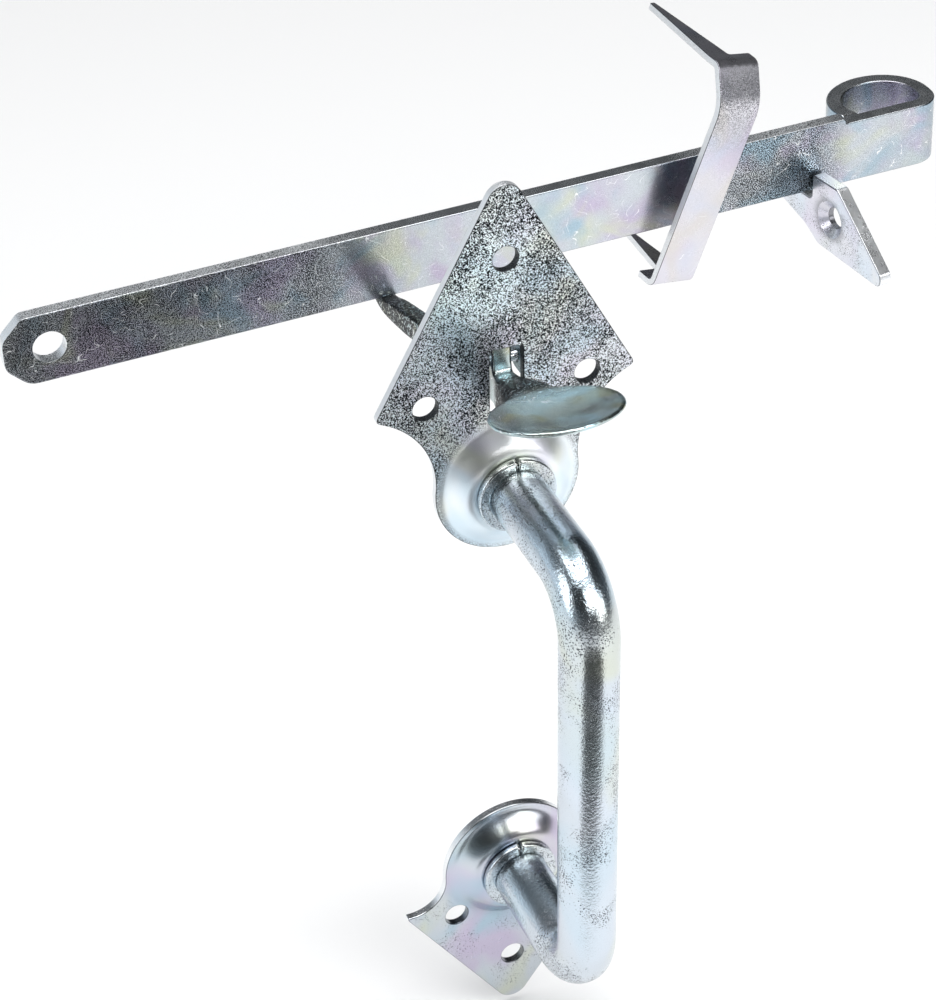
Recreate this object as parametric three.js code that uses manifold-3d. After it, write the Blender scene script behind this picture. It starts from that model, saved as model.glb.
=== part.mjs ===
// Thumb latch set for a boarded door or a garden gate, in zinc-plated steel: a pull handle between
// two plates, a thumb lever through the upper plate, and behind the door a latch bar with a finger
// eye, the staple that guides it and the catch that it drops into.
//
// Millimetres. +X runs along the latch bar towards its eye, +Y goes back through the door and +Z is up.
// The origin is on the back face of the upper plate, between its top screw hole and the lever's slot.

import * as THREE from 'three';
import { mergeVertices } from 'three/addons/utils/BufferGeometryUtils.js';
import Module from 'manifold-3d';

const wasm = await Module();
wasm.setup();

// ---- driving dimensions ----

const degree = Math.PI / 180;
const clearance = 0.3;

// Both plates are pressed from one sheet. Heights on a plate are measured from its tube hole,
// away from its round end. `towardsTip` is +1 where the tip points up and -1 where it points down.
const sheet = 2.5;
const screwRadius = 3.5;
const roundEnd = 20.5;
const tipRadius = 5;
const boss = { foot: 20, top: 11.6, height: 5, hollowFoot: 17.5, hollowTop: 10.8 };
const upper = {
  gripZ: -50,
  towardsTip: 1,
  corner: [36.5, 27.9],
  tip: 94.5,
  waistAngle: 6 * degree,
  screws: [[0, 68], [-22.6, 29], [22.6, 29]],
};
const lower = {
  gripZ: -183,
  towardsTip: -1,
  corner: [33, 11.3],
  tip: 57.5,
  waistAngle: 2 * degree,
  screws: [[0, 36.9], [-17.3, 15.2], [17.3, 15.2]],
};

// The lever swings on a pin that lies across the slot, just behind the sheet.
const slot = { halfWidth: 4.7, bottom: -28, top: -8.3 };
const pivot = { y: 3.4, z: -15, pinRadius: 1.5, headRadius: 2.6, headLength: 1.2 };
const ear = { inner: 5, thickness: 2, halfHeight: 4.2 };
const lever = { bladeThickness: 5.6 };
const pad = { halfLength: 18, halfDepth: 14, y: -34.5, z: -8.2, tilt: -11 * degree };

const grip = { radius: 8, wall: 1.5, axisY: -55, bendRadius: 16 };
// A split ring in a groove round each leg is the shoulder that the plate is held against.
const collar = { radius: 11, thickness: 2, grooveDepth: 0.7, slit: 0.8 };
const flare = { radius: 9.8, thickness: 1.4 };

// The bar turns on its pivot hole and rests with its eye end raised a little by the lever.
const bar = {
  pivotX: -98.6,
  frontY: 83.5,
  pivotZ: -32.7,
  restTilt: 1.5 * degree,
  thickness: 4.5,
  halfHeight: 10.6,
  end: 13,
  clippedCorner: 6.6,
  holeRadius: 4.8,
};
const eye = {
  x: 260,
  centreY: 10,
  halfWidth: 16.2,
  halfDepth: 14.5,
  cornerRadius: 6,
  curl: 0.62,
  step: 1.6,
  slit: 0.3,
};

const staple = {
  position: [95.4, 77.2, -20.4],
  roll: 13.4 * degree,
  lean: 5.5 * degree,
  yaw: 11.2 * degree,
  height: 73,
  width: 15,
  thickness: 2,
  bend: 3,
  bow: { forward: 5.6, z: 26, softness: 7 },
  spikeLengths: [38, 30],
  shoulders: [5, 7],
  tips: [[1.9, 3.7], [4.65, 5.65]],
};

// Distances on the catch run forward from the front face of the bar.
const striker = {
  x: 133.5,
  z: -50,
  yaw: 8 * degree,
  thickness: 4,
  hole: [10.5, 8.1, 3.2],
  countersink: 5.7,
};

// ---- geometry helpers ----

const arcSteps = 10;

/** A closed mesh as a manifold solid, without the flat triangles where vertices have merged. */
function solid(geometry) {
  const bare = geometry.clone();
  bare.deleteAttribute('normal');
  bare.deleteAttribute('uv');
  const merged = mergeVertices(bare, 1e-4);
  const vertProperties = new Float32Array(merged.attributes.position.array);
  const corners = merged.index.array;
  const whole = [];
  for (let i = 0; i < corners.length; i += 3) {
    const [a, b, c] = corners.slice(i, i + 3);
    if (a !== b && b !== c && c !== a) whole.push(a, b, c);
  }
  const triVerts = new Uint32Array(whole);
  return new wasm.Manifold(new wasm.Mesh({ numProp: 3, vertProperties, triVerts }));
}

/** A manifold solid back as a geometry. */
function geometryOf(body) {
  const mesh = body.getMesh();
  const geometry = new THREE.BufferGeometry();
  geometry.setAttribute('position', new THREE.Float32BufferAttribute(mesh.vertProperties, 3));
  geometry.setIndex([...mesh.triVerts]);
  geometry.computeVertexNormals();
  return geometry;
}

/** A shape extruded to a given depth, with no bevel. Its outline may run either way round. */
function extrude(shape, depth, curveSegments = arcSteps) {
  const points = shape.getPoints(curveSegments);
  if (THREE.ShapeUtils.isClockWise(points)) points.reverse();
  const apart = (point, i) => point.distanceTo(points.at(i - 1)) > 0.001;
  const outline = new THREE.Shape(points.filter(apart));
  outline.holes = shape.holes;
  return new THREE.ExtrudeGeometry(outline, { depth, curveSegments, bevelEnabled: false });
}

/** Shape axes to X and Z, with the depth going forward from y = 0. */
function facingFront(geometry) {
  return geometry.rotateX(Math.PI / 2);
}

/** Shape axes to Y and Z, with the depth going along X and centred on x = 0. */
function facingSide(geometry, depth) {
  const axes = new THREE.Matrix4().makeBasis(
    new THREE.Vector3(0, 1, 0),
    new THREE.Vector3(0, 0, 1),
    new THREE.Vector3(1, 0, 0),
  );
  return geometry.translate(0, 0, -depth / 2).applyMatrix4(axes);
}

/** A solid turned about the Y axis from [radius, y] pairs, then moved to a height. */
function turned(profile, z = 0, steps = 40) {
  const points = profile.map(([radius, y]) => new THREE.Vector2(radius, y));
  return solid(new THREE.LatheGeometry(points, steps).translate(0, 0, z));
}

function circlePath(x, y, radius) {
  return new THREE.Path().absarc(x, y, radius, 0, 2 * Math.PI, true);
}

function rectangle(left, right, bottom, top) {
  return new THREE.Shape().moveTo(left, bottom).lineTo(left, top).lineTo(right, top)
    .lineTo(right, bottom).closePath();
}

/** A strip seen edge on: a path of points, and the same path moved to its left by a thickness. */
function ribbon(points, thickness) {
  const moved = points.map((point, i) => {
    const before = points[Math.max(i - 1, 0)];
    const after = points[Math.min(i + 1, points.length - 1)];
    const along = after.clone().sub(before).normalize();
    return new THREE.Vector2(point.x - along.y * thickness, point.y + along.x * thickness);
  });
  return new THREE.Shape([...points, ...moved.reverse()]);
}

const zinc = { color: 0xb9c0c8, roughness: 0.34, metalness: 1 };

function piece(name, geometry, tint = zinc.color) {
  const mesh = new THREE.Mesh(geometry, new THREE.MeshStandardMaterial({ ...zinc, color: tint }));
  mesh.name = name;
  return mesh;
}

// ---- handle plates ----

/** The kite outline of a plate: round end, hollow waists, two side corners and a rounded tip. */
function plateOutline({ gripZ, towardsTip, corner, tip, waistAngle }) {
  const [cornerX, cornerH] = corner;
  const reach = Math.cos(waistAngle) * cornerX + Math.sin(waistAngle) * cornerH - roundEnd;
  const waistDistance = (cornerX ** 2 + cornerH ** 2 - roundEnd ** 2) / (2 * reach);
  const waistRadius = waistDistance - roundEnd;
  const waistX = waistDistance * Math.cos(waistAngle);
  const waistH = waistDistance * Math.sin(waistAngle);
  const cornerAngle = Math.atan2(cornerH - waistH, waistX - cornerX);
  const halfTip = Math.atan2(cornerX, tip - cornerH);
  const tipCentre = tip - tipRadius / Math.sin(halfTip);

  const outline = new THREE.Shape();
  outline.absarc(0, 0, roundEnd, Math.PI - waistAngle, 2 * Math.PI + waistAngle, false);
  outline.absarc(waistX, waistH, waistRadius, Math.PI + waistAngle, Math.PI - cornerAngle, true);
  outline.absarc(0, tipCentre, tipRadius, halfTip, Math.PI - halfTip, false);
  outline.absarc(-waistX, waistH, waistRadius, cornerAngle, -waistAngle, true);

  const place = ({ x, y }) => new THREE.Vector2(x, gripZ + towardsTip * y);
  return new THREE.Shape(outline.getPoints(arcSteps).map(place));
}

/** The raised seat round the tube, as [radius, y] pairs of a turned solid that starts at `base`. */
function bossProfile(foot, top, base, rise) {
  const steps = 6;
  const points = [[0, base - rise], [top, base - rise]];
  for (let step = 1; step <= steps; step += 1) {
    const share = step / steps;
    const height = (rise * (1 + Math.cos(Math.PI * share))) / 2;
    points.push([top + (foot - top) * share, base - height]);
  }
  return [...points, [foot, base + sheet / 2], [0, base + sheet / 2]];
}

function plateBody(plate) {
  const outline = plateOutline(plate);
  for (const [x, height] of plate.screws) {
    outline.holes.push(circlePath(x, plate.gripZ + plate.towardsTip * height, screwRadius));
  }
  if (plate === upper) {
    outline.holes.push(rectangle(-slot.halfWidth, slot.halfWidth, slot.bottom, slot.top));
  }
  const holeRadius = grip.radius + clearance;
  const face = solid(facingFront(extrude(outline, sheet)));
  const raised = turned(bossProfile(boss.foot, boss.top, -sheet, boss.height), plate.gripZ);
  const hollow = turned(bossProfile(boss.hollowFoot, boss.hollowTop, 0, boss.height), plate.gripZ);
  const tubeHole = turned([[0, -20], [holeRadius, -20], [holeRadius, 5], [0, 5]], plate.gripZ);
  return face.add(raised).subtract(hollow).subtract(tubeHole);
}

/** The two ears behind the slot that carry the lever's pin. */
function earBody(side) {
  const outline = new THREE.Shape();
  const root = -sheet / 2;
  outline.moveTo(root, pivot.z - ear.halfHeight).lineTo(pivot.y, pivot.z - ear.halfHeight);
  outline.absarc(pivot.y, pivot.z, ear.halfHeight, -Math.PI / 2, Math.PI / 2, false);
  outline.lineTo(root, pivot.z + ear.halfHeight).closePath();
  outline.holes.push(circlePath(pivot.y, pivot.z, pivot.pinRadius + clearance));
  const lug = facingSide(extrude(outline, ear.thickness), ear.thickness);
  return solid(lug.translate(side * (ear.inner + ear.thickness / 2), 0, 0));
}

const upperPlate = piece(
  'upper_plate',
  geometryOf(plateBody(upper).add(earBody(-1)).add(earBody(1))),
  0xaab2bc,
);
const lowerPlate = piece('lower_plate', geometryOf(plateBody(lower)), 0xb4bfcc);

// ---- grip: one bent tube, flared behind each plate, and a split ring in front of each ----

/** The centre line of the tube: forward from the upper plate, down, and back to the lower one. */
class GripLine extends THREE.Curve {
  constructor(startY) {
    super();
    const { axisY, bendRadius } = grip;
    this.leg = startY - axisY - bendRadius;
    this.arc = (bendRadius * Math.PI) / 2;
    this.drop = upper.gripZ - lower.gripZ - 2 * bendRadius;
    this.startY = startY;
    this.total = 2 * this.leg + 2 * this.arc + this.drop;
  }

  getPoint(t, target = new THREE.Vector3()) {
    const { axisY, bendRadius } = grip;
    const middleZ = (upper.gripZ + lower.gripZ) / 2;
    const fromMiddle = (0.5 - t) * this.total;
    const side = Math.sign(fromMiddle) || 1;
    let along = Math.abs(fromMiddle);
    let y = axisY;
    let z = Math.min(along, this.drop / 2);
    along -= this.drop / 2;
    if (along > 0) {
      const angle = Math.min(along, this.arc) / bendRadius;
      y += bendRadius * (1 - Math.cos(angle));
      z += bendRadius * Math.sin(angle);
      y += Math.max(along - this.arc, 0);
    }
    return target.set(0, y, middleZ + side * z);
  }
}

const bossFace = -sheet - boss.height;
const bossBack = -boss.height;
const flareFront = bossBack + clearance;
const tubeEnd = flareFront + flare.thickness;

function tubeBody() {
  const section = new THREE.Shape().absarc(0, 0, grip.radius, 0, 2 * Math.PI, false);
  section.holes.push(circlePath(0, 0, grip.radius - grip.wall));
  const line = new GripLine(tubeEnd);
  const spacing = 5;
  const steps = Math.round(line.total / spacing);
  const settings = { steps, curveSegments: arcSteps, extrudePath: line, bevelEnabled: false };
  return solid(new THREE.ExtrudeGeometry(section, settings));
}

/** A ring round a leg of the grip, from y = front to y = back, with chamfered outer edges. */
function ringBody(inner, outer, front, back, z) {
  const edge = (back - front) / 4;
  return turned(
    [
      [inner, front], [outer - edge, front], [outer, front + edge],
      [outer, back - edge], [outer - edge, back], [inner, back], [inner, front],
    ],
    z,
  );
}

const collarBack = bossFace - clearance;
const collarFront = collarBack - collar.thickness;
const grooveRadius = grip.radius - collar.grooveDepth;

/** A split ring, open at the top. */
function collarBody(z) {
  const inner = grooveRadius + clearance;
  const ring = ringBody(inner, collar.radius, collarFront, collarBack, z);
  const gap = new THREE.BoxGeometry(collar.slit, 2 * collar.thickness, collar.radius);
  const middle = (collarFront + collarBack) / 2;
  return ring.subtract(solid(gap.translate(0, middle, z + collar.radius / 2)));
}

let gripBody = tubeBody();
for (const { gripZ } of [upper, lower]) {
  const inWall = grip.radius - grip.wall / 2;
  const grooveFront = collarFront - clearance;
  const grooveBack = collarBack + clearance;
  gripBody = gripBody
    .add(ringBody(inWall, flare.radius, flareFront, tubeEnd, gripZ))
    .subtract(ringBody(grooveRadius, collar.radius, grooveFront, grooveBack, gripZ));
}
const gripTube = piece('grip_tube', geometryOf(gripBody), 0xc4cbd4);
const upperCollar = piece('upper_collar', geometryOf(collarBody(upper.gripZ)), 0xd3d8dc);
const lowerCollar = piece('lower_collar', geometryOf(collarBody(lower.gripZ)), 0xd3d8dc);

// ---- thumb lever: one forging with a dished pad, a blade through the slot and a long tail ----

function leverSide() {
  const outline = new THREE.Shape();
  outline.moveTo(-30, -10.2);
  outline.quadraticCurveTo(-14, -12.2, -3, -16.6);
  outline.lineTo(0.7, -17);
  outline.lineTo(0.7, -10);
  outline.quadraticCurveTo(2.4, -8.8, 5.2, -9.4);
  outline.quadraticCurveTo(8.6, -13.2, 15, -17.4);
  outline.quadraticCurveTo(38, -27.8, 62, -33.8);
  outline.lineTo(76, -38.3);
  outline.quadraticCurveTo(80.5, -41.1, 84, -41.2);
  outline.lineTo(90, -41.2);
  outline.quadraticCurveTo(93.4, -42.4, 89.5, -43.6);
  outline.quadraticCurveTo(84, -46, 76, -44.2);
  outline.quadraticCurveTo(40, -36.8, 16, -26.2);
  outline.quadraticCurveTo(8, -26.8, -3, -26.4);
  outline.quadraticCurveTo(-12, -21, -30, -12.8);
  outline.closePath();
  outline.holes.push(circlePath(pivot.y, pivot.z, pivot.pinRadius + clearance));
  return solid(facingSide(extrude(outline, lever.bladeThickness, 6), lever.bladeThickness));
}

/** The oval pad: a dished disc stretched along X, with its front edge tilted up. */
function leverPad() {
  const rim = pad.halfDepth;
  const profile = [
    [0, -3.2], [rim * 0.55, -2.8], [rim * 0.9, -1.3], [rim, -0.2],
    [rim * 0.98, 0.7], [rim * 0.92, 0.6], [rim * 0.6, -0.8], [0, -1.5],
  ];
  const points = profile.map(([radius, height]) => new THREE.Vector2(radius, height));
  const disc = new THREE.LatheGeometry(points, 36).rotateX(Math.PI / 2);
  disc.scale(pad.halfLength / pad.halfDepth, 1, 1).rotateX(pad.tilt);
  return solid(disc.translate(0, pad.y, pad.z));
}

const thumbLever = piece('thumb_lever', geometryOf(leverSide().add(leverPad())), 0x9fb0b4);

// The pin is peened over outside both ears.
const headInner = ear.inner + ear.thickness + clearance;
const headOuter = headInner + pivot.headLength;
const pinProfile = [
  [0, -headOuter], [pivot.headRadius * 0.7, -headOuter], [pivot.headRadius, -headInner - 0.4],
  [pivot.headRadius, -headInner], [pivot.pinRadius, -headInner], [pivot.pinRadius, headInner],
  [pivot.headRadius, headInner], [pivot.headRadius, headInner + 0.4],
  [pivot.headRadius * 0.7, headOuter], [0, headOuter],
].map(([radius, along]) => new THREE.Vector2(radius, along));
const leverPin = piece(
  'lever_pivot_pin',
  geometryOf(solid(new THREE.LatheGeometry(pinProfile, 24).rotateZ(-Math.PI / 2))),
  0xc9c3bd,
);
leverPin.position.set(0, pivot.y, pivot.z);

// ---- latch bar: flat bar with a pivot hole, its far end rolled back into a finger eye ----

/** The curl seen from above, with the bar's front face on y = 0 and the pivot at x = 0. */
function curlPlan() {
  const { x, centreY, halfWidth, halfDepth, cornerRadius, curl } = eye;
  const cornerX = x + halfWidth - cornerRadius;
  const path = new THREE.Path().moveTo(x, 0).lineTo(cornerX, 0);
  path.absarc(cornerX, cornerRadius, cornerRadius, -Math.PI / 2, 0, false);
  path.absellipse(x, centreY, halfWidth, halfDepth, 0, Math.PI + curl, false);
  return ribbon(path.getPoints(24), bar.thickness);
}

/** The bar seen from the front: clipped left corners, and the eye's top edge a step lower. */
function barFront() {
  const { end, halfHeight, clippedCorner } = bar;
  const shoulder = end - clippedCorner;
  const eyeLeft = eye.x - eye.halfWidth - clearance;
  const far = eye.x + eye.halfWidth + 1;
  const eyeTop = halfHeight - eye.step;
  const front = new THREE.Shape();
  front.moveTo(-shoulder, -halfHeight);
  front.lineTo(far, -halfHeight).lineTo(far, eyeTop).lineTo(eyeLeft + eye.step, eyeTop);
  front.quadraticCurveTo(eyeLeft, eyeTop, eyeLeft, halfHeight);
  front.lineTo(-shoulder, halfHeight);
  front.quadraticCurveTo(-end, halfHeight - 1, -end, 2).lineTo(-end, -2);
  front.quadraticCurveTo(-end, 1 - halfHeight, -shoulder, -halfHeight);
  front.holes.push(circlePath(0, 0, bar.holeRadius));
  return front;
}

function barBody() {
  const height = 2 * bar.halfHeight;
  const { thickness, end } = bar;
  const depth = eye.centreY + eye.halfDepth + 2;
  const straight = rectangle(-end, eye.x + 1, 0, thickness);
  const curlLeft = eye.x - eye.halfWidth;
  const slit = rectangle(curlLeft - 1, eye.x - eye.halfWidth / 2, thickness, thickness + eye.slit);
  const upright = (shape) => solid(extrude(shape, height).translate(0, 0, -height / 2));
  const front = solid(facingFront(extrude(barFront(), depth)).translate(0, depth - 1, 0));
  return upright(straight).add(upright(curlPlan())).subtract(upright(slit)).intersect(front);
}

const latchBar = piece('latch_bar', geometryOf(barBody()), 0xb3b6c6);
latchBar.position.set(bar.pivotX, bar.frontY, bar.pivotZ);
latchBar.rotation.y = -bar.restTilt;

// ---- bar staple: a bent strip, each end split into a long spike and a short shoulder ----

/** The staple seen from the side, as the bent strip before its ends are cut. */
function stapleStrip() {
  const { height, thickness, bend, width, bow } = staple;
  const [upperLength, lowerLength] = staple.spikeLengths;
  const top = height / 2;
  const face = new THREE.Path().moveTo(upperLength, top).lineTo(bend, top);
  face.quadraticCurveTo(0, top, -bow.forward / 2, (top + bow.z + bend) / 2);
  face.quadraticCurveTo(-bow.forward, bow.z, -bow.forward + 0.6, bow.z - bow.softness);
  face.lineTo(-0.3, bend - top).quadraticCurveTo(0, -top, bend, -top).lineTo(lowerLength, -top);
  return solid(facingSide(extrude(ribbon(face.getPoints(8), thickness), width), width));
}

/** The staple seen from above: a strip whose spike lies on the given side. */
function endCut(length, spikeSide, tipInner, tipOuter, shoulder) {
  const half = staple.width / 2;
  const ahead = -staple.bow.forward - 1;
  const cut = new THREE.Shape();
  cut.moveTo(-half * spikeSide, ahead).lineTo(-half * spikeSide, shoulder);
  cut.lineTo(0, shoulder).lineTo(tipInner * spikeSide, length);
  cut.lineTo(tipOuter * spikeSide, length).lineTo(half * spikeSide, shoulder);
  cut.lineTo(half * spikeSide, ahead).closePath();
  return cut;
}

function stapleBody() {
  const [upperLength, lowerLength] = staple.spikeLengths;
  const reach = staple.height / 2 + 1;
  const overlap = 1;
  const [upperShoulder, lowerShoulder] = staple.shoulders;
  const [[upperInner, upperOuter], [lowerInner, lowerOuter]] = staple.tips;
  const upperCut = endCut(upperLength, -1, upperInner, upperOuter, upperShoulder);
  const lowerCut = endCut(lowerLength, 1, lowerInner, lowerOuter, lowerShoulder);
  const topCut = solid(extrude(upperCut, reach));
  const bottomCut = extrude(lowerCut, reach + overlap).translate(0, 0, -reach);
  return stapleStrip().intersect(topCut.add(solid(bottomCut)));
}

const barStaple = piece('bar_staple', geometryOf(stapleBody()), 0xb7b2bd);
barStaple.position.set(...staple.position);
barStaple.rotation.set(staple.lean, staple.roll, staple.yaw, 'ZXY');

// ---- catch plate: a flat hook with a ramp in front, a notch for the bar and a tang ----

function catchSide() {
  const outline = new THREE.Shape();
  outline.moveTo(-24, 9.5);
  outline.lineTo(-12.5, 4.3);
  outline.quadraticCurveTo(-3, 2.6, 4.6, -2.3);
  outline.lineTo(30, -2.6);
  outline.quadraticCurveTo(38.6, -2.6, 33.8, 3);
  outline.lineTo(14.2, 18.2);
  outline.quadraticCurveTo(12.6, 19.4, 11, 19.3);
  outline.lineTo(1.3, 18.9);
  outline.lineTo(1.3, 13);
  outline.quadraticCurveTo(1.3, 10.6, -1, 10.6);
  outline.lineTo(-5.6, 10.6);
  outline.quadraticCurveTo(-7.2, 10.6, -7.6, 13);
  outline.lineTo(-8.4, 18);
  outline.lineTo(-12, 18);
  outline.lineTo(-24, 12);
  return outline.closePath();
}

function catchBody() {
  const { thickness, hole, countersink } = striker;
  const [forward, height, radius] = hole;
  const outline = catchSide();
  outline.holes.push(circlePath(forward, height, radius));
  const blank = solid(extrude(outline, thickness).translate(0, 0, -thickness));
  const proud = 0.4;
  const sink = [[0, -thickness / 2], [radius, -thickness / 2], [countersink, 0]]
    .concat([[countersink, proud], [0, proud]])
    .map(([sinkRadius, depth]) => new THREE.Vector2(sinkRadius, depth));
  const cone = new THREE.LatheGeometry(sink, 28).rotateX(Math.PI / 2);
  return blank.subtract(solid(cone.translate(forward, height, 0)));
}

const catchPlate = piece('catch_plate', geometryOf(catchBody()), 0xc3cbc9);
// Outline axes: forward distance to -Y and height to Z. The countersunk face looks along -X.
catchPlate.rotation.set(Math.PI / 2, 0, striker.yaw - Math.PI / 2, 'ZYX');
catchPlate.position.set(striker.x, bar.frontY, striker.z);

// ---- the whole set ----

const latchSet = new THREE.Group();
latchSet.add(upperPlate, lowerPlate, gripTube, upperCollar, lowerCollar);
latchSet.add(thumbLever, leverPin, latchBar, barStaple, catchPlate);

export default latchSet;
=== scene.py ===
# Thumb latch set for a boarded door or a garden gate, in bright zinc-plated steel. Blender 4.5.
# Sizes are in millimetres and turn into metres where a mesh is made. +X runs along the latch bar
# towards its finger eye, +Y goes back through the door and +Z is up.

import math

import bpy
import numpy as np
from mathutils import Matrix, Vector
from mathutils.geometry import delaunay_2d_cdt


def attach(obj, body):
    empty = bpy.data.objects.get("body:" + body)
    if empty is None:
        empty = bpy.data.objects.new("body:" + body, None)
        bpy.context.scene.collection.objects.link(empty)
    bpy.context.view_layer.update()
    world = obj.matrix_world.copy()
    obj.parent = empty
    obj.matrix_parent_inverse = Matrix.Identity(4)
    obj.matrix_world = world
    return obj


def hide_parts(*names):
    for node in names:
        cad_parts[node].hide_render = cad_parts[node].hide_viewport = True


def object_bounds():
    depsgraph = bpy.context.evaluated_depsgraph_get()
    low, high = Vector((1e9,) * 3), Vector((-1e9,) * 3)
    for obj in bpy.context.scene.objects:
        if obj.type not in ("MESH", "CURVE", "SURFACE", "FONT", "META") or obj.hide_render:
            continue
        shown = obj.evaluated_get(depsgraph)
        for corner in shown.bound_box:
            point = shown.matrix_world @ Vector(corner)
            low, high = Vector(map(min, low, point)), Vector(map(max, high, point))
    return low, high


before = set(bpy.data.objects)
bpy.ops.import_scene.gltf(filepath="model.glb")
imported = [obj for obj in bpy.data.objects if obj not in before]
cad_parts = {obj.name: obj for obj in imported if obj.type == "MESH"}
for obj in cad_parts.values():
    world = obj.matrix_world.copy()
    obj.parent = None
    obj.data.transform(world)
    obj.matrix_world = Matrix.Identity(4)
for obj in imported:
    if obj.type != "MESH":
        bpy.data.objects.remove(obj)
cad_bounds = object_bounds()
scene = bpy.context.scene
MM = 0.001


# ---- camera, light and floor ----
# The set is seen from its left front and from above, in the soft light of a pale studio table.

AIM = Vector((-10.8, -1.0, -53.7)) * MM
DISTANCE = 790 * MM
AZIMUTH, ELEVATION, ROLL = (math.radians(angle) for angle in (21.7, 35.2, -1.1))
LENS = 108


def add_object(name, data):
    thing = bpy.data.objects.new(name, data)
    scene.collection.objects.link(thing)
    return thing


backward = Vector((
    -math.sin(AZIMUTH) * math.cos(ELEVATION),
    -math.cos(AZIMUTH) * math.cos(ELEVATION),
    math.sin(ELEVATION),
))
level = Vector((math.cos(AZIMUTH), -math.sin(AZIMUTH), 0))
right = level * math.cos(ROLL) + backward.cross(level) * math.sin(ROLL)
axes = Matrix((right, backward.cross(right), backward)).transposed()
camera = add_object("camera", bpy.data.cameras.new("camera"))
camera.matrix_world = Matrix.Translation(AIM + backward * DISTANCE) @ axes.to_4x4()
camera.data.lens = LENS
scene.camera = camera
scene.view_settings.view_transform = "Standard"


def add_panel(name, place, target, size, watts):
    """A rectangular soft light that looks at a point."""
    panel = bpy.data.lights.new(name, "AREA")
    panel.shape = "RECTANGLE"
    panel.size, panel.size_y = size
    panel.energy = watts
    lamp = add_object(name, panel)
    lamp.location = place
    lamp.rotation_euler = (Vector(target) - Vector(place)).to_track_quat("-Z", "Y").to_euler()


add_panel("top_panel", (0.0, 0.0, 1.25), (0.0, 0.0, 0.0), (1.6, 1.3), 12)
add_panel("front_panel", (0.3, -1.0, 0.85), (0.0, 0.0, -0.1), (1.0, 0.5), 8)
add_panel("low_front_panel", (0.75, -0.9, 0.35), (0.0, 0.0, -0.1), (0.7, 0.45), 3)
add_panel("left_panel", (-1.1, -0.1, 0.35), (0.0, 0.0, -0.1), (0.5, 0.7), 3)

# A very wide lamp high above keeps the floor evenly pale out to its far edges.
ceiling = bpy.data.lights.new("ceiling", "SUN")
ceiling.energy = 1.35
ceiling.angle = math.radians(50)
add_object("ceiling", ceiling)

# The far walls of the studio are dark above and pale blue low down on the left in reflections,
# and plain pale grey where they are seen directly.
world = bpy.data.worlds.new("studio")
scene.world = world
world.use_nodes = True
walls = world.node_tree
facing = walls.nodes.new("ShaderNodeTexCoord").outputs["Generated"]
height = walls.nodes.new("ShaderNodeSeparateXYZ")
walls.links.new(facing, height.inputs[0])
side_on = walls.nodes.new("ShaderNodeVectorMath")
side_on.operation = "DOT_PRODUCT"
side_on.inputs[1].default_value = (-0.75, 0.66, 0.0)
walls.links.new(facing, side_on.inputs[0])


def brighten(where, start, end, least):
    """A smooth rise from the least glow to the full one, from one direction to another."""
    rise = walls.nodes.new("ShaderNodeMapRange")
    rise.interpolation_type = "SMOOTHSTEP"
    for key, value in (("From Min", start), ("From Max", end), ("To Min", least), ("To Max", 1.0)):
        rise.inputs[key].default_value = value
    walls.links.new(where, rise.inputs["Value"])
    return rise.outputs[0]


glow = walls.nodes.new("ShaderNodeMath")
glow.operation = "MULTIPLY"
walls.links.new(brighten(height.outputs["Z"], 0.55, 0.0, 0.15), glow.inputs[0])
walls.links.new(brighten(side_on.outputs["Value"], 0.0, 0.95, 0.12), glow.inputs[1])
walls.links.new(glow.outputs[0], walls.nodes["Background"].inputs["Strength"])
seen_wall = walls.nodes.new("ShaderNodeBackground")
seen_wall.inputs["Color"].default_value = (0.9, 0.9, 0.9, 1)
seen_directly = walls.nodes.new("ShaderNodeLightPath").outputs["Is Camera Ray"]
choose = walls.nodes.new("ShaderNodeMixShader")
walls.links.new(seen_directly, choose.inputs[0])
walls.links.new(walls.nodes["Background"].outputs[0], choose.inputs[1])
walls.links.new(seen_wall.outputs[0], choose.inputs[2])
walls.links.new(choose.outputs[0], walls.nodes["World Output"].inputs["Surface"])
walls.nodes["Background"].inputs["Color"].default_value = (0.86, 0.93, 1.0, 1)

FLOOR_DROP, CARD_LIFT = 3, 0.5
FLOOR_SHADE, CARD_SHADE = 0.93, 0.04
FLOOR_HALF = 3
floor_z = cad_bounds[0][2] - FLOOR_DROP * MM


def add_floor_sheet(name, corners, z, shade):
    """A flat matt sheet on the studio floor."""
    mesh = bpy.data.meshes.new(name)
    mesh.from_pydata([(x, y, z) for x, y in corners], [], [tuple(range(len(corners)))])
    paint = bpy.data.materials.new(name)
    paint.use_nodes = True
    shader = paint.node_tree.nodes["Principled BSDF"]
    shader.inputs["Base Color"].default_value = (shade, shade, shade, 1)
    shader.inputs["Roughness"].default_value = 0.9
    mesh.materials.append(paint)
    sheet = add_object(name, mesh)
    return sheet


floor_corners = [(-FLOOR_HALF, -FLOOR_HALF), (FLOOR_HALF, -FLOOR_HALF),
                 (FLOOR_HALF, FLOOR_HALF), (-FLOOR_HALF, FLOOR_HALF)]
add_floor_sheet("floor", floor_corners, floor_z, FLOOR_SHADE)

# A dark card in front of the set gives the bright metal something to reflect. Only reflections
# show it, so the floor stays plain from every side.
card_corners = [(-0.35, -0.6), (0.1, -0.6), (0.11, -0.22), (-0.12, -0.15)]
dark_card = add_floor_sheet("dark_card", card_corners, floor_z + CARD_LIFT * MM, CARD_SHADE)
dark_card.visible_camera = dark_card.visible_diffuse = dark_card.visible_shadow = False


# ---- upper plate ----
# A kite of 2.5 mm sheet steel, pressed up into a round seat for the grip, with three screw holes,
# the lever's slot, and two small ears behind the slot that carry the lever's pin. Bright zinc
# over a rolled surface, so its flat is grainy and its drawn seat is smooth.

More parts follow.
